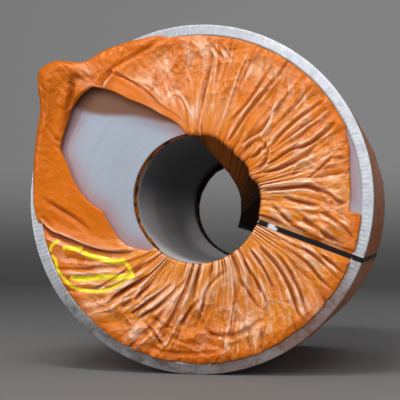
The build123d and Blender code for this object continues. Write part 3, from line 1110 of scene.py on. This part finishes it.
def edge_ring(settings, front):
    """An edge ring: its section carried round the end, with crimps across the flange.

    A crimp is a narrow ridge whose height is a Gaussian of the angle from its middle. Crimps and a slow
    sway of the flange grow from the corner to the ring's mouth.
    """
    theta = np.linspace(0, 2 * np.pi, settings.around, endpoint=False)[:, None]
    r, h = ring_section().T[:, None, :]
    number = settings.crimps
    place = theta / (2 * np.pi) * number
    off = (place + 0.22 * noise(place, 0.0, number, 3 if front else 4)) % 1 - 0.5
    tall = 0.75 + 0.25 * noise(place / 2, 0.0, number // 2, 8)
    grow = np.clip((RING_R - RING_CORNER - r) / (RING_R - RING_CORNER - MOUTH_R), 0, 1)
    ridge = np.exp(-((off / 0.16) ** 2)) * tall * (0.25 + 0.75 * grow) * (r < RING_R - RING_CORNER / 2)
    sway = 0.0012 * noise(theta / (2 * np.pi) * 17, 0.0, 17, 9) * grow
    h = h + settings.depth * ridge + np.maximum(sway, 0)
    points = placed(r, (HALF + h) * (-1 if front else 1), theta)
    across = points.shape[1]
    start = np.arange(len(theta)) * across
    after = np.roll(start, -1)
    lip = np.stack([start + across - 1, after + across - 1, after, start], axis=-1)
    points, faces = grid(points, turned=not front)
    faces = np.vstack([faces, lip if front else lip[:, ::-1]])
    end = "front" if front else "back"
    return mesh_object(f"crimped_ring_{end}", points, faces, "galvanised", f"edge_ring_{end}")


SEAM_ANGLE, OVERLAP = 118, 0.05  # where the barrel's film overlaps, and by how much
BARREL_START = 0.003  # from an end of the steel to the edge of the barrel's film
BARREL_SUNK = 0.0022  # from the ring's outer face in to the film under it


def barrel_film(settings):
    """The film round the barrel: a tube with long wrinkles and an overlap, flat under the strap.

    Its height over the steel is a slow bulge plus creases that run along and across the barrel. It
    falls to the least height at the rings, under the strap and where the coil rests.
    """
    columns, rows = 720, 120
    theta = np.linspace(0, 2 * np.pi, columns, endpoint=False)[:, None]
    end = HALF - BARREL_START
    y = np.linspace(-end, end, rows)[None, :]
    turn = theta / (2 * np.pi)
    slow = 0.5 + 0.5 * noise(turn * 9, y * 2.2 + 9, 9, 71)
    along = triangle(turn * 54 + 1.2 * noise(turn * 20, y * 2.5 + 20, 20, 72), 0.4)
    along = along * (0.5 + 0.5 * noise(turn * 27, y * 3 + 31, 27, 73))
    bands = triangle(y * 9 + 0.9 * noise(turn * 12, y * 3 + 17, 12, 74) + turn * 2)
    cross = 1 - np.abs(noise((turn * 30 + y * 1.3) % 30, y * 7 + 12, 30, 75))
    seam = 1 - ease(apart(theta, SEAM_ANGLE) * COIL_R, 0.0, 0.012)
    height = 0.35 * slow + 0.3 * along + 0.16 * bands * slow + 0.3 * cross**3 + 0.15 * seam
    free = ease(end - np.abs(y), RING_LENGTH + 0.002, RING_LENGTH + 0.05)
    free = free * ease(apart(theta, -90), 0.1, 0.55) * ease(off_strap(theta, RING_R), 0.016, 0.05)
    points = placed(RING_R - BARREL_SUNK + settings.bulge * height * free, y, theta)
    fold = ridges(height, (2, 4), 0.25) * free
    # The barrel's film is darkened a little as painted shade.
    marks = film_marks(theta, y, fold=fold, inside=0.15, glint=0.15, loose=0.6)
    piece = mesh_object("wrapped_barrel", *grid(points), "film", "barrel_film", marks)
    return piece


def film_edge(table):
    """The curve of a film's edge on the end, through a table of angles and radii."""
    angles, radii = np.array(table, float).T
    turn = np.radians(angles)
    return smooth_path(np.column_stack([radii * np.cos(turn), radii * np.sin(turn)]), 3)


def beside_film(points):
    """Painted light from the film on the seen end of the steel: a painted brown shadow, and a painted pink
    bounce beside its edge.

    The painted shadow lies above its lower edge. The painted bounce falls off as exp(-(distance / 45 mm)^2)
    from the film's torn and drawn-in edges.
    """
    x, y, z = points.T
    on_end = y < -HALF + 0.002
    shade = 0.95 * on_end * ease(z - line_at(SHADE_EDGE, x), -0.012, 0.012) * (x < 0)
    edges = film_edge(WINDOW_EDGE), film_edge(DRAWN_EDGE[1:-1])
    distance = np.min([along_path(x, z, edge)[0] for edge in edges], axis=0)
    return {"shade": shade, "painted_bounce": 0.85 * on_end * np.exp(-((distance / 0.045) ** 2))}


BORE_EDGE = 0.003  # the rounding of the bore's edges


class OBJECT_OT_coil_steel(Operator):
    """Build the wound strip, with its turns showing on the ends"""

    bl_idname = "object.coil_steel"
    bl_label = "Wound Steel"

    def execute(self, context):
        coil = context.scene.wrapped_coil
        rng = np.random.default_rng(5)
        theta = np.linspace(0, 2 * np.pi, 288, endpoint=False)[:, None]
        radii = np.linspace(BORE_R, COIL_R, coil.bands + 1)
        insets = coil.lay * rng.uniform(0, 1, coil.bands) ** 2
        radii[0] += BORE_EDGE
        front = [(BORE_R, -HALF + BORE_EDGE)]
        front += [(r, -HALF + d) for k, d in enumerate(insets) for r in (radii[k], radii[k + 1])]
        back = [(r, HALF) for r in np.linspace(COIL_R, BORE_R + BORE_EDGE, 8)]
        back += [(BORE_R, HALF - BORE_EDGE)]
        profile = np.array(front + back + front[:1])
        points, faces = grid(placed(*profile.T[:, None, :], theta))
        marks = beside_film(points)
        piece = mesh_object("wound_strip", points, faces, "steel", "steel_coil", marks, smooth=False)
        dress(piece, steel_finish(coil.colour))
        return {"FINISHED"}


class OBJECT_OT_coil_films(Operator):
    """Build the film gathered over each end and stretched round the barrel"""

    bl_idname = "object.coil_films"
    bl_label = "Wrapping Film"

    def execute(self, context):
        film = context.scene.wrapped_film
        material = film_finish(film.colour, film.spray)
        for front in (True, False):
            dress(end_film(film, front), material)
        dress(barrel_film(film), material)
        return {"FINISHED"}


class OBJECT_OT_coil_rings(Operator):
    """Build the crimped edge rings"""

    bl_idname = "object.coil_rings"
    bl_label = "Edge Rings"

    def execute(self, context):
        rings = context.scene.wrapped_rings
        material = zinc_finish(rings.colour)
        for front in (True, False):
            dress(edge_ring(rings, front), material)
        return {"FINISHED"}


class OBJECT_OT_coil_strap(Operator):
    """Finish the strap and its seal"""

    bl_idname = "object.coil_strap"
    bl_label = "Strap"

    def execute(self, context):
        material = strap_finish()
        for node in ("eye_strap", "strap_seal"):
            dress(frame["nodes"][node], material)
        return {"FINISHED"}


# The lamps: name, place, target, width and height, and watts.
LAMPS = (
    ("overhead", (-0.5, -2.7, 4.4), (0, -0.6, 0), (2.4, 0.9), 140),
    ("high strip", (-0.6, -5.2, 3.4), (0, -0.6, 0), (5.0, 0.4), 50),
    ("front", (0.3, -7.0, 2.9), (0, -0.6, 0), (4.6, 2.4), 104),
    ("low front", (1.2, -7.0, 0.5), (0, -0.6, 0), (3.0, 1.2), 32),
    ("left", (-3.4, -3.8, 1.0), (0, -0.6, 0), (0.3, 2.6), 48),
    ("right", (3.8, -3.4, 1.0), (0, -0.6, 0), (0.3, 2.6), 18),
    ("behind", (1.5, 4.0, 3.6), (0, 0, 0), (3.0, 1.6), 45),
)


class OBJECT_OT_coil_stage(Operator):
    """Set the floor, the lights and the camera"""

    bl_idname = "object.coil_stage"
    bl_label = "Stage"

    def execute(self, context):
        stage = context.scene.wrapped_stage
        paper(stage)
        sky(context.scene)
        for lamp in LAMPS:
            softbox(*lamp)
        camera(context.scene, stage)
        return {"FINISHED"}


def paper(stage):
    """A sheet of paper as floor and backdrop, darker underfoot than up the wall.

    It has a level run, a quarter round and an upright run.
    """
    bend, back, front, top, side = 1.6, 8.5, -9.0, 9.0, 14.0
    turn = np.linspace(-np.pi / 2, 0, 24)
    curve = np.column_stack([back - bend + bend * np.cos(turn), FLOOR + bend + bend * np.sin(turn)])
    run = np.vstack([(front, FLOOR), curve, (back, top)])
    sides = np.array([np.column_stack([np.full(len(run), x), run]) for x in (-side, side)])
    points, faces = grid(sides, closed=False)
    mesh = bpy.data.meshes.new("paper_sweep")
    mesh.from_pydata(points.tolist(), [], faces.tolist())
    mesh.polygons.foreach_set("use_smooth", np.full(len(faces), True))
    sweep = bpy.data.objects.new("paper_sweep", mesh)
    bpy.context.scene.collection.objects.link(sweep)
    finish = Finish("plain_paper", Roughness=0.9)
    up = finish.place()[-1] - FLOOR
    wall = [min(1.0, c) for c in scaled(stage.paper, 4.2)]
    finish.use("Base Color", finish.colours(stage.paper, wall, up.step(0.05, 1.6)))
    dress(sweep, finish.material)


def sky(scene):
    """An even pale surround."""
    world = bpy.data.worlds.new("pale_room")
    world.use_nodes = True
    background = world.node_tree.nodes["Background"]
    background.inputs["Color"].default_value = (0.9, 0.93, 1.0, 1.0)
    background.inputs["Strength"].default_value = 0.2
    scene.world = world


def softbox(name, place, target, size, watts):
    """A rectangular studio lamp that faces a target."""
    light = bpy.data.lights.new(name, "AREA")
    light.shape = "RECTANGLE"
    light.size, light.size_y = size
    light.energy = watts
    lamp = bpy.data.objects.new(name, light)
    lamp.location = place
    lamp.rotation_euler = (Vector(target) - Vector(place)).to_track_quat("-Z", "Y").to_euler()
    bpy.context.scene.collection.objects.link(lamp)


def camera(scene, stage):
    """A camera at the photograph's angle of view, facing the coil."""
    data = bpy.data.cameras.new("photo_view")
    data.angle = stage.angle
    eye = bpy.data.objects.new("photo_view", data)
    eye.location = (stage.across, -HALF - stage.away, -stage.below)
    target = Vector((0.012, -HALF, -0.005))
    eye.rotation_euler = (target - eye.location).to_track_quat("-Z", "Y").to_euler()
    scene.collection.objects.link(eye)
    scene.camera = eye


class VIEW3D_PT_wrapped_coil(Panel):
    """Steps that dress the coil"""

    bl_label = "Wrapped Steel Coil"
    bl_space_type = "VIEW_3D"
    bl_region_type = "UI"
    bl_category = "Steel Coil"

    def draw(self, context):
        for step in STEPS:
            self.layout.operator(step.bl_idname)


SETTINGS = {
    "wrapped_coil": CoilSettings,
    "wrapped_film": FilmSettings,
    "wrapped_rings": RingSettings,
    "wrapped_stage": StageSettings,
}
STEPS = (
    OBJECT_OT_coil_steel,
    OBJECT_OT_coil_films,
    OBJECT_OT_coil_rings,
    OBJECT_OT_coil_strap,
    OBJECT_OT_coil_stage,
)
CLASSES = (*SETTINGS.values(), *STEPS, VIEW3D_PT_wrapped_coil)


def register():
    """Adds the classes, and their groups of settings to each scene."""
    for cls in CLASSES:
        bpy.utils.register_class(cls)
    for name, group in SETTINGS.items():
        setattr(bpy.types.Scene, name, PointerProperty(type=group))


def unregister():
    """Takes the settings and the classes away again."""
    for name in SETTINGS:
        delattr(bpy.types.Scene, name)
    for cls in reversed(CLASSES):
        bpy.utils.unregister_class(cls)


def main():
    """Runs the steps in order."""
    register()
    bpy.context.scene.view_settings.view_transform = "Standard"
    bpy.ops.object.coil_steel()
    bpy.ops.object.coil_films()
    bpy.ops.object.coil_rings()
    bpy.ops.object.coil_strap()
    bpy.ops.object.coil_stage()


if __name__ == "__main__":
    main()
